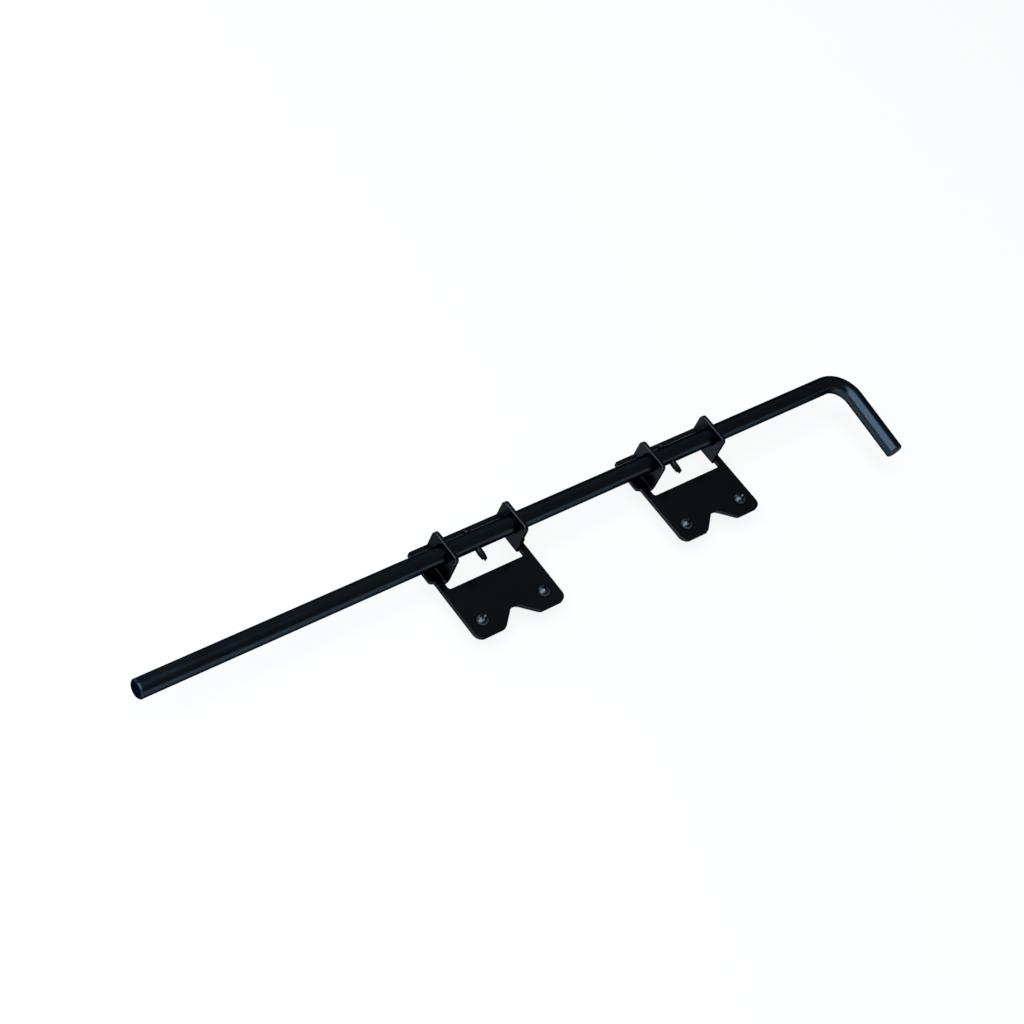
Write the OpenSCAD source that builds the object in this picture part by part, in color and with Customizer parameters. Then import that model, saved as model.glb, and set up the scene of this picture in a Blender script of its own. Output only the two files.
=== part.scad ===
// Slide bolt for a gate, in millimetres.
// A round rod with a bent handle slides and turns in the folded ears of two stamped brackets.
// Two split pins through the rod stop against the ears, and two screws hold each bracket.
// The mounting plane is z = 0, the rod runs along X, and its tip points to -X.
// The origin lies midway between the two screws of the front bracket.

/* [Rod] */
// Diameter of the rod, with its coating
rod_d = 12.9; // [10:0.1:14]
// Length of the rod, from its tip to the outside of the handle
rod_len = 610; // [560:5:700]
// Length of the handle, from the rod's axis to its end
handle_len = 68; // [50:1:75]
// Radius of the handle's bend, on the centre line
bend_r = 18.5; // [12:0.5:22]
// Chamfer at both ends of the rod
rod_chamfer = 0.9; // [0.4:0.1:2]
// Angle by which the handle hangs below level
handle_tilt = 6.5; // [0:0.5:8]
// Distance from the rod's tip to the middle of the front bracket
tip_reach = 256.5; // [220:0.5:280]

/* [Brackets] */
// Distance between the middles of the two brackets
bracket_pitch = 182; // [150:2:220]
// Height of the rod's axis over the mounting plane
axis_h = 17.4; // [16:0.2:20]
// Thickness of the sheet
sheet_t = 2.5; // [2:0.1:3]
// Width of the foot plate, along the rod
plate_w = 74.8; // [72:0.2:86]
// Distance from the line of the screws to the front edge of the feet
foot_edge = 11.6; // [9:0.2:16]
// Distance from the rod's axis to the back edge
back_reach = 17.6; // [17:0.1:24]
// Radius of the plate's outer corners
corner_r = 6; // [2:0.5:7]
// How far the frame round the window stands out past each side of the foot plate
shoulder_w = 3; // [2:0.5:5]
// Distance from the rod's axis to the front end of the shoulders
shoulder_reach = 8.2; // [6:0.2:12]
// Radius of the shoulders' front corners
shoulder_r = 2; // [1:0.25:2]

/* [Window] */
// Distance from the rod's axis to the window's front edge
window_front = 17.5; // [15:0.1:22]
// Distance from the rod's axis to the window's back edge
window_back = 13.8; // [13:0.1:14.5]
// Radius of the window's corners
window_r = 2; // [1:0.25:2.5]

/* [Ears] */
// Width of each ear, across the rod
ear_w = 25.6; // [20:0.2:26]
// How far the middle of each ear lies behind the rod's axis
ear_offset = 0.6; // [0:0.1:0.8]
// Distance between the inner faces of the two ears
ear_gap = 55.8; // [50:0.2:57]
// Height of an ear's top edge over the rod's axis
ear_rise = 9.1; // [8.5:0.1:14]
// Radius of an ear's top corners
ear_corner_r = 3.5; // [2:0.5:9]
// Inside radius of the fold at the foot of each ear
fold_r = 1.5; // [1:0.25:2.5]
// Play round the rod in the holes of the ears
rod_play = 0.1; // [0.05:0.05:0.9]

/* [Notch between the feet] */
// Depth of the notch
notch_depth = 11.4; // [6:0.2:14]
// Angle of the notch's sides, from the front edge
notch_angle = 42; // [35:1:60]
// Radius at the bottom of the notch
notch_r = 5.6; // [4:0.1:6]
// Radius of the feet's corners at the mouth of the notch
mouth_r = 4.6; // [2:0.2:5]

/* [Screws] */
// Distance between the two screws of a bracket
screw_pitch = 52; // [46:0.5:54]
// Distance from the rod's axis to the line of the screws
screw_reach = 45.8; // [42:0.2:48]
// Diameter of the screw's shank
screw_d = 4.8; // [4:0.1:5.5]
// Length of the screw under its head
screw_len = 16; // [12:0.5:25]
// Diameter of the screw's head
head_d = 9.4; // [8.4:0.1:11]
// Height of the screw's head
head_h = 3.7; // [2.6:0.1:4]
// Diameter of the plain neck under the head, where it passes through the plate
neck_d = 4.3; // [3.8:0.1:4.6]
// Length of the screw's point
point_len = 4.2; // [3:0.1:5]
// Width of each arm of the cross recess
recess_w = 1.3; // [0.8:0.1:1.6]
// Reach of the cross recess, tip to tip
recess_d = 5.2; // [4:0.1:6]
// Depth of the cross recess
recess_depth = 1.9; // [1:0.1:2.2]
// Play round the shank in the plate's hole
screw_play = 0.4; // [0.2:0.1:0.8]

/* [Stop pins] */
// Diameter of a split pin
pin_d = 4.4; // [2.5:0.1:4.8]
// Distance from the rod's axis to the end of the longer leg
long_leg = 15.8; // [13:0.1:18]
// Distance from the rod's axis to the end of the shorter leg
short_leg = 14.4; // [11:0.1:15]
// Slit between the two legs
pin_slit = 0.3; // [0.2:0.1:0.6]
// Length of the slanted cut at the end of a leg
leg_taper = 7; // [1:0.1:7.5]
// Angle by which each leg is spread past the rod
leg_spread = 3; // [2:1:12]
// Inside radius of the pin's eye
eye_r = 0.3; // [0.2:0.1:1.5]
// Play round a pin in its hole
pin_play = 0.1; // [0.05:0.05:0.3]
// Place of the front pin, from the middle of the front bracket
front_pin_x = -5; // [-12:0.5:12]
// Place of the rear pin, from the middle of the rear bracket
rear_pin_x = -12.5; // [-13:0.5:12]

/* [Hidden] */
$fn = 96;
// How far a cut runs past the face that it opens
cut = 1;
// Gap between a pin's eye and the mouth of its hole
eye_gap = 0.1;
// How far outside the rod the spread of the legs starts
spread_gap = 0.3;
// Blunt radius left at the point of a screw
blunt_r = 0.5;

plate_half = plate_w / 2;
front_reach = screw_reach + foot_edge;
frame_half = plate_half + shoulder_w;
ear_inner = ear_gap / 2;
ear_outer = ear_inner + sheet_t;
window_half = ear_outer + fold_r;
fold_outer = fold_r + sheet_t;
ear_top = axis_h + ear_rise;
ear_front = ear_offset - ear_w / 2;
ear_back = ear_offset + ear_w / 2;
handle_x = rod_len - tip_reach - rod_d / 2;
// The eye rests in the mouth of the pin's hole
pin_hole_r = pin_d / 2 + pin_play;
eye_outer = eye_r + pin_d / 2;
eye_y = rod_d / 2 + sqrt(pow(eye_outer, 2) - pow(pin_hole_r, 2)) + eye_gap;
spread_y = rod_d / 2 + spread_gap;

// Flat outlines

module round_rect(x0, x1, y0, y1, r) {
    translate([x0 + r, y0]) square([x1 - x0 - 2 * r, y1 - y0]);
    translate([x0, y0 + r]) square([x1 - x0, y1 - y0 - 2 * r]);
    for (x = [x0 + r, x1 - r], y = [y0 + r, y1 - r])
        translate([x, y]) circle(r);
}

// Corner filled between a wall that runs along Y and an edge that runs along X
module fillet(x, y, sx, sy, r) {
    translate([x, y]) mirror([sx < 0 ? 1 : 0, 0]) mirror([0, sy < 0 ? 1 : 0])
        difference() {
            translate([-r / 2, -r / 2]) square(1.5 * r);
            translate([r, r]) circle(r);
        }
}

// V notch with a round bottom and round mouth corners, open towards -Y
module notch() {
    bottom = -front_reach + notch_depth;
    a = notch_angle;
    side = [notch_r * sin(a), bottom - notch_r + notch_r * cos(a)];
    mouth = side[0] + (side[1] + front_reach) / tan(a);
    reach = mouth_r * tan(a / 2);
    difference() {
        union() {
            translate([0, bottom - notch_r]) circle(notch_r);
            polygon([
                side, [-side[0], side[1]],
                [-mouth + reach * cos(a), -front_reach + reach * sin(a)],
                [-mouth - reach, -front_reach], [-mouth - reach, -front_reach - cut],
                [mouth + reach, -front_reach - cut], [mouth + reach, -front_reach],
                [mouth - reach * cos(a), -front_reach + reach * sin(a)]
            ]);
        }
        for (s = [-1, 1])
            translate([s * (mouth + reach), -front_reach + mouth_r]) circle(mouth_r);
    }
}

module plate_outline() {
    difference() {
        union() {
            round_rect(-plate_half, plate_half, -front_reach, 0, corner_r);
            round_rect(-frame_half, frame_half, -shoulder_reach, back_reach, shoulder_r);
            for (s = [-1, 1])
                fillet(s * plate_half, -shoulder_reach, s, -1, shoulder_w / 2);
        }
        round_rect(-window_half, window_half, -window_front, window_back, window_r);
        notch();
        for (s = [-1, 1])
            translate([s * screw_pitch / 2, -screw_reach]) circle(screw_d / 2 + screw_play);
    }
}

// Outline of an ear, seen along the rod, from the fold up
module ear_outline() {
    difference() {
        union() {
            round_rect(ear_front, ear_back, fold_outer, ear_top, ear_corner_r);
            translate([ear_front, fold_outer]) square([ear_w, ear_corner_r]);
        }
        translate([0, axis_h]) circle(rod_d / 2 + rod_play);
    }
}

// Side view of the fold between the plate and the ear at +X
module fold_profile() {
    intersection() {
        translate([window_half, fold_outer]) difference() {
            circle(fold_outer);
            circle(fold_r);
        }
        translate([window_half - fold_outer, 0]) square(fold_outer);
    }
}

module ear() {
    translate([ear_inner, 0, 0]) rotate([90, 0, 90]) linear_extrude(sheet_t) ear_outline();
    translate([0, ear_back, 0]) rotate([90, 0, 0]) linear_extrude(ear_w) fold_profile();
}

// Bracket with its middle at x = 0 and the rod's axis over y = 0
module bracket() {
    linear_extrude(sheet_t) plate_outline();
    // The folds meet the plate's window edge across the width of an ear
    ear();
    mirror([1, 0, 0]) ear();
}

// Rod along X at y = 0, z = 0, with its handle towards -Y
module rod_body() {
    difference() {
        union() {
            translate([-tip_reach, 0, 0]) rotate([0, 90, 0])
                chamfered_bar(tip_reach + handle_x - bend_r);
            translate([handle_x - bend_r, -bend_r, 0])
                rotate_extrude(angle = 90) translate([bend_r, 0]) circle(d = rod_d);
            translate([handle_x, -handle_len, 0]) rotate([-90, 0, 0])
                chamfered_bar(handle_len - bend_r);
        }
        for (x = [front_pin_x, bracket_pitch + rear_pin_x])
            translate([x, rod_d / 2 + cut, 0]) rotate([90, 0, 0])
                cylinder(h = rod_d + 2 * cut, r = pin_hole_r);
    }
}

// Round bar along Z, chamfered at its lower end
module chamfered_bar(len) {
    cylinder(h = rod_chamfer, d1 = rod_d - 2 * rod_chamfer, d2 = rod_d);
    translate([0, 0, rod_chamfer]) cylinder(h = len - rod_chamfer, d = rod_d);
}

// Half of the pin's round section, on the +X side of the slit
module half_round() {
    intersection() {
        circle(d = pin_d);
        translate([pin_slit / 2, -pin_d / 2]) square([pin_d / 2, pin_d]);
    }
}

// Leg on the +X side, spread past the rod and cut to a point from its outer side
module spread_leg(reach) {
    len = reach - spread_y;
    translate([0, -spread_y, 0]) rotate([0, 0, leg_spread])
        difference() {
            rotate([90, 0, 0]) linear_extrude(len) half_round();
            linear_extrude(2 * pin_d, center = true)
                polygon([
                    [0, -len], [0, -len - cut], [pin_d, -len - cut],
                    [pin_d, -len + 2 * leg_taper]
                ]);
        }
}

// Split pin along Y, bent from half-round wire, with its eye behind the rod and its legs at -Y
module split_pin() {
    difference() {
        union() {
            translate([0, eye_y, 0]) rotate_extrude()
                intersection() {
                    translate([eye_r, 0]) circle(d = pin_d);
                    translate([eye_r, -pin_d / 2]) square(pin_d);
                }
            translate([0, eye_y - eye_r, 0]) rotate([90, 0, 0])
                cylinder(h = eye_y - eye_r + spread_y, d = pin_d);
        }
        translate([-pin_slit / 2, -spread_y - cut, -pin_d])
            cube([pin_slit, eye_y + spread_y + cut, 2 * pin_d]);
    }
    spread_leg(long_leg);
    mirror([1, 0, 0]) spread_leg(short_leg);
}

// Pan-head screw with a cross recess, seated on z = 0 and pointing down
module screw() {
    dome_r = (pow(head_d / 2, 2) + pow(head_h, 2)) / (2 * head_h);
    difference() {
        intersection() {
            translate([0, 0, head_h - dome_r]) sphere(dome_r);
            cylinder(h = head_h, d = head_d);
        }
        for (a = [0, 90])
            rotate([0, 0, a]) translate([-recess_d / 2, -recess_w / 2, head_h - recess_depth])
                cube([recess_d, recess_w, recess_depth + cut]);
    }
    translate([0, 0, -sheet_t]) cylinder(h = sheet_t, d = neck_d);
    translate([0, 0, point_len - screw_len])
        cylinder(h = screw_len - point_len - sheet_t, d = screw_d);
    translate([0, 0, -screw_len]) cylinder(h = point_len, d1 = 2 * blunt_r, d2 = screw_d);
}

module on_rod(x) {
    translate([x, screw_reach, axis_h]) rotate([handle_tilt, 0, 0]) children();
}

module slide_rod() {
    color([0.07, 0.075, 0.085]) on_rod(0) rod_body();
}

module front_stop_pin() {
    color([0.1, 0.1, 0.11]) on_rod(front_pin_x) split_pin();
}

module rear_stop_pin() {
    color([0.1, 0.1, 0.11]) on_rod(bracket_pitch + rear_pin_x) split_pin();
}

module front_bracket() {
    color([0.08, 0.085, 0.095]) translate([0, screw_reach, 0]) bracket();
}

module rear_bracket() {
    color([0.08, 0.085, 0.095]) translate([bracket_pitch, screw_reach, 0]) bracket();
}

module placed_screw(x) {
    color([0.05, 0.05, 0.055]) translate([x, 0, sheet_t]) screw();
}

module front_left_screw() {
    placed_screw(-screw_pitch / 2);
}

module front_right_screw() {
    placed_screw(screw_pitch / 2);
}

module rear_left_screw() {
    placed_screw(bracket_pitch - screw_pitch / 2);
}

module rear_right_screw() {
    placed_screw(bracket_pitch + screw_pitch / 2);
}

slide_rod();
front_stop_pin();
rear_stop_pin();
front_bracket();
rear_bracket();
front_left_screw();
front_right_screw();
rear_left_screw();
rear_right_screw();
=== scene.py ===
"""Looks of a gate slide bolt: coated steel, threaded screws, a pale floor and soft light."""
import math

import bmesh
import bpy
from mathutils import Euler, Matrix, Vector


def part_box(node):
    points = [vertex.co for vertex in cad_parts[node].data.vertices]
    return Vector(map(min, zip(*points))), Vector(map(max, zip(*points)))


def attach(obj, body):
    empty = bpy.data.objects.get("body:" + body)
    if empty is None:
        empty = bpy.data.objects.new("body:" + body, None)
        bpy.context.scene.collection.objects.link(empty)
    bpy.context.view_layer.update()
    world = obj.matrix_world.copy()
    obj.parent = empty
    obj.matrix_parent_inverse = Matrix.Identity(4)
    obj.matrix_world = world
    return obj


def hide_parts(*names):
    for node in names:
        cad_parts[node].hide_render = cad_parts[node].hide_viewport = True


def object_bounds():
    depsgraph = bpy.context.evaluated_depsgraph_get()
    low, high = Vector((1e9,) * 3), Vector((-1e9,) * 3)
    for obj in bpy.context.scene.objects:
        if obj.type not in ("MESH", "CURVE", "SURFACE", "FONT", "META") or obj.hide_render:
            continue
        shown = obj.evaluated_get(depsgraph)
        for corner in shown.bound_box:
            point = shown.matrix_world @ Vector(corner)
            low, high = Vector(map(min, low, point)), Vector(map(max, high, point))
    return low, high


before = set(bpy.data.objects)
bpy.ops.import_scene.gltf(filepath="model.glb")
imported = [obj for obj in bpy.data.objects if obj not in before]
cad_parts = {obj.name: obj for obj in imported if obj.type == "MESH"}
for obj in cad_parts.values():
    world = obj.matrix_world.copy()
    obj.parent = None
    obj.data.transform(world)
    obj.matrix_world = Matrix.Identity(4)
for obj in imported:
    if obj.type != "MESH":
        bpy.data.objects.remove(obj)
CAD_BOX = [list(corner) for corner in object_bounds()]

MM = 0.001

# Camera, fitted to the rod and both brackets in the photograph
CAMERA_AT = Vector((-761.1, -427.6, 1047.4)) * MM
CAMERA_TURN = (38.751, -17.825, -37.967)
LENS = 75.34
SENSOR = 36.0
FAR_CLIP = 50.0

# Head, neck and core of a screw
PLATE_T = 2.5 * MM
HEAD_R = 4.7 * MM
HEAD_H = 3.7 * MM
HEAD_CHAMFER = 0.15 * MM
DOME_INSET = 0.02 * MM
DOME_STEPS = 12
NECK_R = 2.15 * MM
CORE_R = 1.75 * MM
NECK_SLOPE = 0.4 * MM
POINT_LEN = 4.2 * MM
POINT_R = 0.25 * MM
SCREW_SEGMENTS = 64
SHARP_ANGLE = 35.0

# Thread: the half widths of its ridge are shares of its pitch
THREAD_R = 2.4 * MM
THREAD_PITCH = 1.8 * MM
THREAD_ROOT = 0.36
THREAD_CREST = 0.05
THREAD_STEPS = 36
THREAD_TOP_GAP = 0.5 * MM
THREAD_END_GAP = 0.8 * MM
THREAD_LEAST_R = 0.15 * MM
THREAD_SINK = 0.97
THREAD_END_RISE = 0.35

# Cross recess: its arms are narrower and shorter at the bottom, as shares of their full size
RECESS_W = 1.25 * MM
RECESS_REACH = 2.6 * MM
RECESS_DEPTH = 1.9 * MM
RECESS_BOTTOM_REACH = 0.45
RECESS_TOP_REACH = 1.15
RECESS_LEAST_W = 0.75
CUTTER_RISE = 0.5 * MM

# Angle by which each screw is turned, in degrees
SCREW_TURNS = {
    "front_left_screw": 20.0,
    "front_right_screw": 64.0,
    "rear_left_screw": 41.0,
    "rear_right_screw": 8.0,
}

# Noises of the coating's patterns: waves per metre and levels of detail
CLOUD_NOISE = (45.0, 4.0)
SPECK_NOISE = (900.0, 2.0)
# Noise that breaks up the pale edges, which are a painted edge highlight as well as worn coating
EDGE_GAP_NOISE = (260.0, 3.0)
PEEL_NOISE = (1100.0, 2.0)
GRAIN_NOISE = (5200.0, 1.0)
NOISE_ROUGHNESS = 0.55

# Streaks: waves per metre along each axis, and their noise in those waves
STREAK_SCALES = (25.0, 600.0, 600.0)
STREAK_NOISE = (1.0, 3.0)

# Levels of a noise between which its pattern fades in
CLOUD_RANGE = (0.3, 0.7)
SPECK_RANGE = (0.66, 0.78)
# Levels at which the patches in the pale edges (painted edge highlight and wear) fade in
EDGE_GAP_RANGE = (0.35, 0.65)
STREAK_RANGE = (0.35, 0.75)

# Strength of the coating's patterns
CLOUD_SHADE = 0.85
DUST_COLOUR = (0.12, 0.12, 0.12, 1.0)
DUST_MOST = 0.15
# Share of the pale edges taken away in patches; these edges paint an edge highlight as well as wear
EDGE_WEAR_AND_HIGHLIGHT_GAPS = 0.6
EDGE_ROUGHER = 0.12
RUBBED_ROUGHER = 0.05
GLOSS_LESS = 0.03
GLOSS_MORE = 0.04
PEEL_STRENGTH = 0.30
PEEL_DEPTH = 0.06 * MM
GRAIN_STRENGTH = 0.15
GRAIN_DEPTH = 0.02 * MM

# Edges start and end where the rounded normal leaves the true one by these cosines
EDGE_STARTS = 0.995
EDGE_ENDS = 0.86
BEVEL_SAMPLES = 8

# Heights between which the rounding of the sheet grows from the plates to the ears
PLATE_LEVEL = 3.0 * MM
EAR_LEVEL = 5.0 * MM

# The coating's reflections stay weak at its outlines
EDGE_SHEEN = (0.25, 0.25, 0.25, 1.0)

# Softboxes: name, direction from the bolt, distance, size across and along, strength, colour
BOLT_MIDDLE = Vector((0.06, 0.03, 0.0))
LAMPS = [
    ("key", (-0.55, 0.0, 0.83), 1.8, 1.8, 3.3, 3.6, (0.78, 0.91, 1.0)),
    ("side", (-0.25, 0.90, 0.35), 1.8, 1.5, 0.8, 2.5, (0.85, 0.95, 1.0)),
    ("back", (0.56, 0.61, 0.56), 1.7, 1.2, 1.2, 0.1, (1.0, 0.95, 0.92)),
]
WORLD_COLOUR = (0.165, 0.15, 0.145, 1.0)

# Round floor that curves up into a low wall
FLOOR_RADIUS = 3.0
FLOOR_RINGS = (0.0, 0.3, 1.0)
WALL_CURVE = 1.0
WALL_HEIGHT = 0.4
WALL_STEPS = 8
FLOOR_SEGMENTS = 96
FLOOR_WHITE = (0.93, 0.93, 0.93, 1.0)
FLOOR_GLOW = 0.87

# Sockets of a Mix node that blends colours
MIX_FACTOR = 0
MIX_LOW = 6
MIX_HIGH = 7
MIX_RESULT = 2


def node_tree(material):
    """The emptied node tree of a material, with its output node."""
    material.use_nodes = True
    tree = material.node_tree
    tree.nodes.clear()
    output = tree.nodes.new("ShaderNodeOutputMaterial")
    return tree, output


def add(tree, kind, **values):
    """A new node with some of its inputs or properties set by name."""
    node = tree.nodes.new(kind)
    for name, value in values.items():
        label = name.replace("_", " ")
        if label in node.inputs:
            node.inputs[label].default_value = value
        else:
            setattr(node, name, value)
    return node


def feed(tree, node, index, value):
    """Links a socket to a node's input, or sets the input to a plain value."""
    if isinstance(value, bpy.types.NodeSocket):
        tree.links.new(value, node.inputs[index])
    else:
        node.inputs[index].default_value = value


def mix_colour(tree, factor, low, high):
    """Blend of two colours or colour sockets."""
    node = add(tree, "ShaderNodeMix", data_type="RGBA")
    feed(tree, node, MIX_FACTOR, factor)
    feed(tree, node, MIX_LOW, low)
    feed(tree, node, MIX_HIGH, high)
    return node.outputs[MIX_RESULT]


def math_node(tree, operation, *values):
    """Result of one sum on sockets or numbers."""
    node = add(tree, "ShaderNodeMath", operation=operation)
    for index, value in enumerate(values):
        feed(tree, node, index, value)
    return node.outputs[0]


def map_range(tree, value, from_low, from_high, to_low, to_high):
    """Value moved from one range to another, and kept inside it."""
    node = add(tree, "ShaderNodeMapRange")
    for index, number in enumerate((value, from_low, from_high, to_low, to_high)):
        feed(tree, node, index, number)
    return node.outputs[0]


def noise(tree, coords, scale, detail):
    """Noise between 0 and 1, fixed to the object."""
    node = add(tree, "ShaderNodeTexNoise", Scale=scale, Detail=detail, Roughness=NOISE_ROUGHNESS)
    tree.links.new(coords, node.inputs["Vector"])
    return node.outputs["Fac"]


def stretched(tree, coords, factors):
    """Coordinates scaled by their own factor along each axis."""
    node = add(tree, "ShaderNodeVectorMath", operation="MULTIPLY")
    tree.links.new(coords, node.inputs[0])
    node.inputs[1].default_value = factors
    return node.outputs[0]


def rounded_normal(tree, coords, edge_radius, ear_radius):
    """Normal that rounds the edges, by the ear radius where the sheet stands over its plate."""
    bevel = add(tree, "ShaderNodeBevel", Radius=edge_radius, samples=BEVEL_SAMPLES)
    if ear_radius:
        height = add(tree, "ShaderNodeSeparateXYZ")
        tree.links.new(coords, height.inputs[0])
        radius = map_range(tree, height.outputs["Z"], PLATE_LEVEL, EAR_LEVEL, edge_radius, ear_radius)
        tree.links.new(radius, bevel.inputs["Radius"])
    return bevel.outputs[0]


def edge_wear_and_highlight(tree, coords, normal):
    """How far a point lies on an edge, from 0 to 1, broken up in patches: the mask of the pale edges,
    which paint an edge highlight as well as thin wear.
    """
    geometry = add(tree, "ShaderNodeNewGeometry")
    facing = add(tree, "ShaderNodeVectorMath", operation="DOT_PRODUCT")
    tree.links.new(normal, facing.inputs[0])
    tree.links.new(geometry.outputs["Normal"], facing.inputs[1])
    edge = map_range(tree, facing.outputs["Value"], EDGE_STARTS, EDGE_ENDS, 0.0, 1.0)
    # Patches break up the pale edges, a painted edge highlight as well as wear
    edge_gaps = map_range(tree, noise(tree, coords, *EDGE_GAP_NOISE), *EDGE_GAP_RANGE, 1.0 - EDGE_WEAR_AND_HIGHLIGHT_GAPS, 1.0)
    return math_node(tree, "MULTIPLY", edge, edge_gaps)


def coating_colour(tree, coords, cloud, edge, colour, edge_wear_and_highlight_colour):
    """Cloudy colour with dust specks and paler edges, which paint an edge highlight as well as wear.
    """
    dark = [CLOUD_SHADE * part for part in colour]
    base = mix_colour(tree, cloud, (*dark, 1.0), (*colour, 1.0))
    dust = map_range(tree, noise(tree, coords, *SPECK_NOISE), *SPECK_RANGE, 0.0, DUST_MOST)
    base = mix_colour(tree, dust, base, DUST_COLOUR)
    # Paler edge colour: a painted edge highlight as well as worn coating
    return mix_colour(tree, edge, base, (*edge_wear_and_highlight_colour, 1.0))


def coating_roughness(tree, coords, cloud, edge, roughness):
    """Cloudy gloss, rougher in rubbed streaks along the rod and on the edges."""
    gloss = map_range(tree, cloud, *CLOUD_RANGE, roughness - GLOSS_LESS, roughness + GLOSS_MORE)
    streak = noise(tree, stretched(tree, coords, STREAK_SCALES), *STREAK_NOISE)
    rubbed = map_range(tree, streak, *STREAK_RANGE, 0.0, RUBBED_ROUGHER)
    gloss = math_node(tree, "ADD", gloss, rubbed)
    return math_node(tree, "ADD", gloss, math_node(tree, "MULTIPLY", edge, EDGE_ROUGHER))


def coating_relief(tree, coords, normal, peel):
    """Orange peel with a fine grain over it."""
    waves = add(tree, "ShaderNodeBump", Strength=PEEL_STRENGTH * peel, Distance=PEEL_DEPTH)
    tree.links.new(noise(tree, coords, *PEEL_NOISE), waves.inputs["Height"])
    tree.links.new(normal, waves.inputs["Normal"])
    grain = add(tree, "ShaderNodeBump", Strength=GRAIN_STRENGTH * peel, Distance=GRAIN_DEPTH)
    tree.links.new(noise(tree, coords, *GRAIN_NOISE), grain.inputs["Height"])
    tree.links.new(waves.outputs[0], grain.inputs["Normal"])
    return grain.outputs[0]


def coated_metal(name, colour, edge_wear_and_highlight_colour, roughness, edge_radius, ear_radius=None, peel=1.0):
    """Black gloss coating with orange peel, cloudy gloss, dust and thin, pale edges that paint an
    edge highlight as well as wear.
    """
    material = bpy.data.materials.new(name)
    tree, output = node_tree(material)
    coords = add(tree, "ShaderNodeTexCoord").outputs["Object"]
    cloud = noise(tree, coords, *CLOUD_NOISE)
    normal = rounded_normal(tree, coords, edge_radius, ear_radius)
    # The edge mask carries the pale edges: a painted edge highlight and wear
    edge = edge_wear_and_highlight(tree, coords, normal)

    shader = add(tree, "ShaderNodeBsdfPrincipled", Metallic=1.0, Specular_Tint=EDGE_SHEEN)
    base = coating_colour(tree, coords, cloud, edge, colour, edge_wear_and_highlight_colour)
    tree.links.new(base, shader.inputs["Base Color"])
    gloss = coating_roughness(tree, coords, cloud, edge, roughness)
    tree.links.new(gloss, shader.inputs["Roughness"])
    relief = coating_relief(tree, coords, normal, peel)
    tree.links.new(relief, shader.inputs["Normal"])
    tree.links.new(shader.outputs[0], output.inputs["Surface"])
    return material


def floor_material():
    """White floor that keeps the bolt's shadow and looks white to the camera and in gloss."""
    material = bpy.data.materials.new("pale_floor")
    tree, output = node_tree(material)
    matte = add(tree, "ShaderNodeBsdfDiffuse", Color=FLOOR_WHITE)
    glow = add(tree, "ShaderNodeEmission", Strength=1.0)
    path = add(tree, "ShaderNodeLightPath")
    seen = math_node(tree, "MAXIMUM", path.outputs["Is Camera Ray"], path.outputs["Is Glossy Ray"])
    seen = math_node(tree, "MAXIMUM", seen, path.outputs["Is Transmission Ray"])
    blend = add(tree, "ShaderNodeMixShader")
    tree.links.new(math_node(tree, "MULTIPLY", seen, FLOOR_GLOW), blend.inputs[0])
    tree.links.new(matte.outputs[0], blend.inputs[1])
    tree.links.new(glow.outputs[0], blend.inputs[2])
    tree.links.new(blend.outputs[0], output.inputs["Surface"])
    return material


def mesh_object(name, bm, material):
    """An object in the scene that holds the finished bmesh."""
    mesh = bpy.data.meshes.new(name)
    bmesh.ops.recalc_face_normals(bm, faces=bm.faces)
    bm.to_mesh(mesh)
    bm.free()
    thing = bpy.data.objects.new(name, mesh)
    bpy.context.scene.collection.objects.link(thing)
    thing.data.materials.append(material)
    return thing


def lathe(bm, profile, segments):
    """Turns (radius, height) points round the Z axis, with one vertex where the radius is zero."""
    turns = [2.0 * math.pi * step / segments for step in range(segments)]
    rings = []
    for radius, height in profile:
        if radius == 0.0:
            rings.append([bm.verts.new((0.0, 0.0, height))])
        else:
            rings.append([bm.verts.new((radius * math.cos(a), radius * math.sin(a), height))
                          for a in turns])
    for low, high in zip(rings, rings[1:]):
        for step in range(segments):
            after = (step + 1) % segments
            quad = [low[step % len(low)], low[after % len(low)],
                    high[after % len(high)], high[step % len(high)]]
            bm.faces.new(list(dict.fromkeys(quad)))


def screw_profile(length):
    """Radius and height along a pan-head screw, from its point to the crown of its head."""
    dome_r = (HEAD_R ** 2 + HEAD_H ** 2) / (2.0 * HEAD_H)
    profile = [(0.0, -length), (POINT_R, -length + POINT_R), (CORE_R, -length + POINT_LEN)]
    profile += [(CORE_R, -PLATE_T - NECK_SLOPE), (NECK_R, -PLATE_T), (NECK_R, 0.0)]
    profile += [(HEAD_R - HEAD_CHAMFER, 0.0), (HEAD_R, HEAD_CHAMFER)]
    widest = math.asin((HEAD_R - DOME_INSET) / dome_r)
    for step in range(1, DOME_STEPS):
        angle = widest * (1.0 - step / DOME_STEPS)
        profile.append((dome_r * math.sin(angle), HEAD_H - dome_r + dome_r * math.cos(angle)))
    profile.append((0.0, HEAD_H))
    return profile


def thread_row(bm, angle, height, core, crest):
    """Four vertices across the ridge at one place of its helix."""
    root = THREAD_ROOT * THREAD_PITCH
    flat = THREAD_CREST * THREAD_PITCH
    return [bm.verts.new((radius * math.cos(angle), radius * math.sin(angle), height + rise))
            for radius, rise in ((core, root), (crest, flat), (crest, -flat), (core, -root))]


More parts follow.
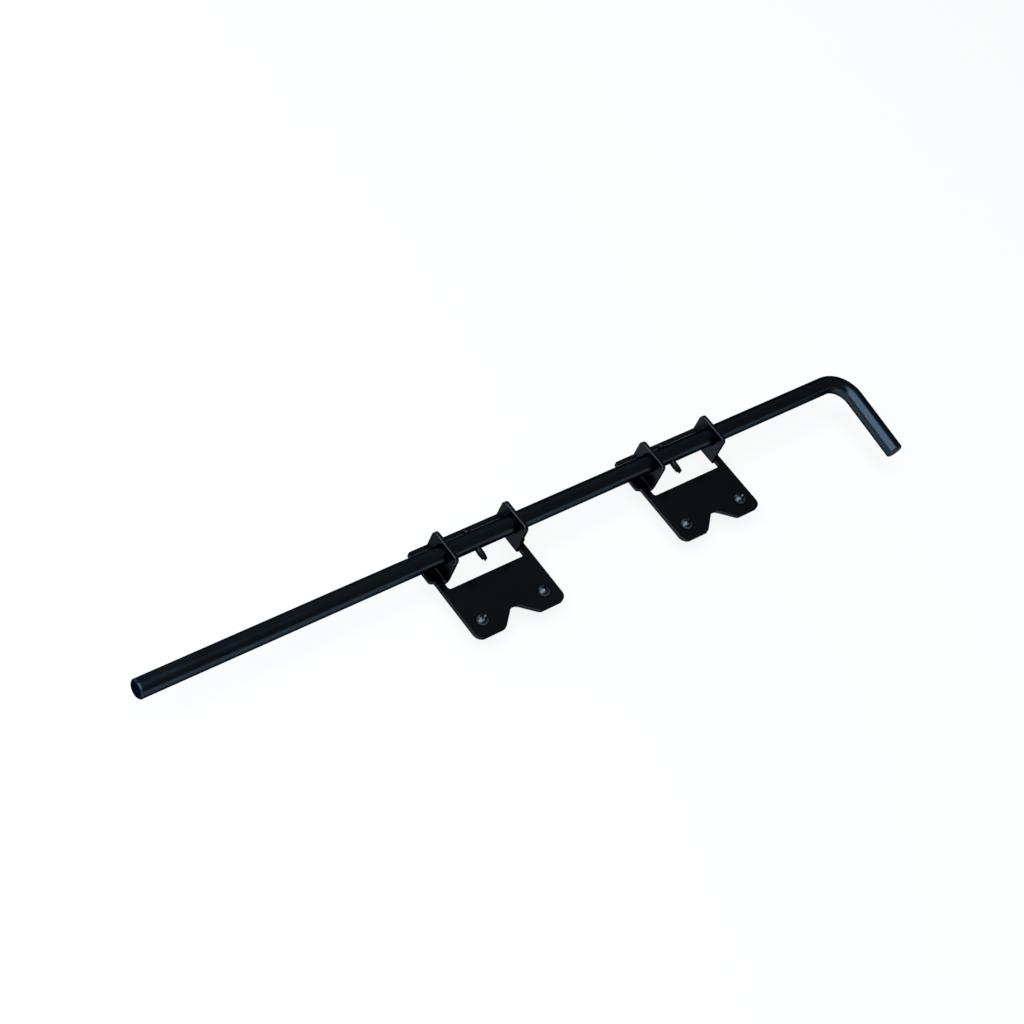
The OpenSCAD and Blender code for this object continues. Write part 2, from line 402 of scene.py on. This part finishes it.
def add_thread(bm, length):
    """A helical ridge on the screw's core that fades out at the neck and at the point."""
    top = -PLATE_T - THREAD_TOP_GAP
    bottom = -length + THREAD_END_GAP
    count = int((top - bottom) / THREAD_PITCH * THREAD_STEPS)
    rows = []
    for step in range(count + 1):
        height = top - THREAD_PITCH * step / THREAD_STEPS
        taper = min(1.0, (height - bottom) / POINT_LEN)
        start = min(1.0, (step + 1) / THREAD_STEPS)
        core = max(THREAD_LEAST_R, CORE_R * taper) * THREAD_SINK
        rise = start * (THREAD_END_RISE + (1.0 - THREAD_END_RISE) * taper)
        crest = core + (THREAD_R - CORE_R) * rise
        rows.append(thread_row(bm, 2.0 * math.pi * step / THREAD_STEPS, height, core, crest))
    for low, high in zip(rows, rows[1:]):
        for side in range(4):
            after = (side + 1) % 4
            bm.faces.new([low[side], low[after], high[after], high[side]])
    bm.faces.new(rows[0])
    bm.faces.new(rows[-1][::-1])


def recess_cutter():
    """A cross whose four arms narrow towards the bottom, as a driver bit does."""
    bm = bmesh.new()
    levels = ((HEAD_H - RECESS_DEPTH, RECESS_BOTTOM_REACH), (HEAD_H + CUTTER_RISE, RECESS_TOP_REACH))
    for turn in (0.0, 0.5 * math.pi):
        corners = []
        for height, share in levels:
            half_w = 0.5 * RECESS_W * (RECESS_LEAST_W + (1.0 - RECESS_LEAST_W) * share)
            for sx, sy in ((-1, -1), (1, -1), (1, 1), (-1, 1)):
                x = sx * RECESS_REACH * share
                y = sy * half_w
                corners.append(bm.verts.new((x * math.cos(turn) - y * math.sin(turn),
                                             x * math.sin(turn) + y * math.cos(turn), height)))
        bm.faces.new(corners[3::-1])
        bm.faces.new(corners[4:])
        for side in range(4):
            after = (side + 1) % 4
            bm.faces.new([corners[side], corners[after], corners[after + 4], corners[side + 4]])
    return bm


def cut_recess(head, material):
    """Cuts the cross recess into a screw's head and keeps the result in its mesh."""
    cutter = mesh_object("recess_cutter", recess_cutter(), material)
    cutter.location = head.location
    cutter.rotation_euler = head.rotation_euler
    modifier = head.modifiers.new("recess", "BOOLEAN")
    modifier.operation = "DIFFERENCE"
    modifier.solver = "EXACT"
    modifier.use_self = True
    modifier.object = cutter
    bpy.context.view_layer.update()
    graph = bpy.context.evaluated_depsgraph_get()
    cut = bpy.data.meshes.new_from_object(head.evaluated_get(graph))
    head.modifiers.clear()
    head.data = cut
    bpy.data.objects.remove(cutter)


def make_screw(node, turn, material):
    """A threaded pan-head screw in the place of a plain one."""
    low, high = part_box(node)
    seat = Vector(((low.x + high.x) / 2.0, (low.y + high.y) / 2.0, PLATE_T))
    length = seat.z - low.z
    bm = bmesh.new()
    lathe(bm, screw_profile(length), SCREW_SEGMENTS)
    screw = mesh_object(node + "_detail", bm, material)
    screw.location = seat
    screw.rotation_euler = Euler((0.0, 0.0, math.radians(turn)))
    cut_recess(screw, material)

    bm = bmesh.new()
    bm.from_mesh(screw.data)
    add_thread(bm, length)
    bmesh.ops.recalc_face_normals(bm, faces=bm.faces)
    bm.to_mesh(screw.data)
    bm.free()
    screw.data.shade_smooth()
    screw.data.set_sharp_from_angle(angle=math.radians(SHARP_ANGLE))

    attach(screw, "brackets")
    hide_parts(node)


def dress(node, material):
    """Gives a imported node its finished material."""
    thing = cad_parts[node]
    thing.data.materials.clear()
    thing.data.materials.append(material)


def add_camera():
    """The camera, at the place that the photograph was taken from."""
    data = bpy.data.cameras.new("camera")
    data.sensor_width = SENSOR
    data.lens = LENS
    data.clip_end = FAR_CLIP
    camera = bpy.data.objects.new("camera", data)
    camera.location = CAMERA_AT
    camera.rotation_euler = Euler([math.radians(turn) for turn in CAMERA_TURN])
    bpy.context.scene.collection.objects.link(camera)
    bpy.context.scene.camera = camera


def add_lamp(name, direction, distance, across, along, strength, colour):
    """A rectangular softbox whose strength is the brightness of its face."""
    data = bpy.data.lights.new(name, "AREA")
    data.shape = "RECTANGLE"
    data.size = across
    data.size_y = along
    data.energy = strength * math.pi * across * along
    data.color = colour
    lamp = bpy.data.objects.new(name, data)
    away = Vector(direction).normalized()
    lamp.location = BOLT_MIDDLE + away * distance
    lamp.rotation_euler = away.to_track_quat("Z", "Y").to_euler()
    bpy.context.scene.collection.objects.link(lamp)


def add_world():
    """Even light from all round."""
    world = bpy.data.worlds.new("studio")
    world.use_nodes = True
    world.node_tree.nodes["Background"].inputs["Color"].default_value = WORLD_COLOUR
    bpy.context.scene.world = world


def add_floor():
    """A round floor under the screws' points that curves up into a low wall all round."""
    flat_radius = FLOOR_RADIUS - WALL_CURVE
    profile = [(radius, 0.0) for radius in (*FLOOR_RINGS, flat_radius)]
    for step in range(1, WALL_STEPS + 1):
        angle = 0.5 * math.pi * step / WALL_STEPS
        profile.append((flat_radius + WALL_CURVE * math.sin(angle),
                        WALL_HEIGHT * (1.0 - math.cos(angle))))
    bm = bmesh.new()
    lathe(bm, profile, FLOOR_SEGMENTS)
    floor = mesh_object("floor", bm, floor_material())
    floor.data.shade_smooth()
    floor.location = (BOLT_MIDDLE.x, BOLT_MIDDLE.y, CAD_BOX[0][2])


# Each edge colour is paler than its coat: a painted edge highlight as well as wear
ROD_COAT = coated_metal(
    "rod_coat", colour=(0.026, 0.039, 0.053), edge_wear_and_highlight_colour=(0.035, 0.043, 0.052),
    roughness=0.21, edge_radius=0.5 * MM)
SHEET_COAT = coated_metal(
    "sheet_coat", colour=(0.024, 0.028, 0.036), edge_wear_and_highlight_colour=(0.056, 0.062, 0.071),
    roughness=0.21, edge_radius=0.35 * MM, ear_radius=1.2 * MM)
PIN_COAT = coated_metal(
    "pin_coat", colour=(0.014, 0.016, 0.019), edge_wear_and_highlight_colour=(0.024, 0.027, 0.030),
    roughness=0.38, edge_radius=0.2 * MM)
SCREW_COAT = coated_metal(
    "screw_coat", colour=(0.066, 0.081, 0.097), edge_wear_and_highlight_colour=(0.072, 0.085, 0.100),
    roughness=0.24, edge_radius=0.1 * MM, peel=0.6)

dress("slide_rod", ROD_COAT)
for bracket in ("front_bracket", "rear_bracket"):
    dress(bracket, SHEET_COAT)
for pin in ("front_stop_pin", "rear_stop_pin"):
    dress(pin, PIN_COAT)
for screw_node, screw_turn in SCREW_TURNS.items():
    make_screw(screw_node, screw_turn, SCREW_COAT)

add_camera()
for lamp in LAMPS:
    add_lamp(*lamp)
add_world()
add_floor()
bpy.context.scene.view_settings.view_transform = "Standard"
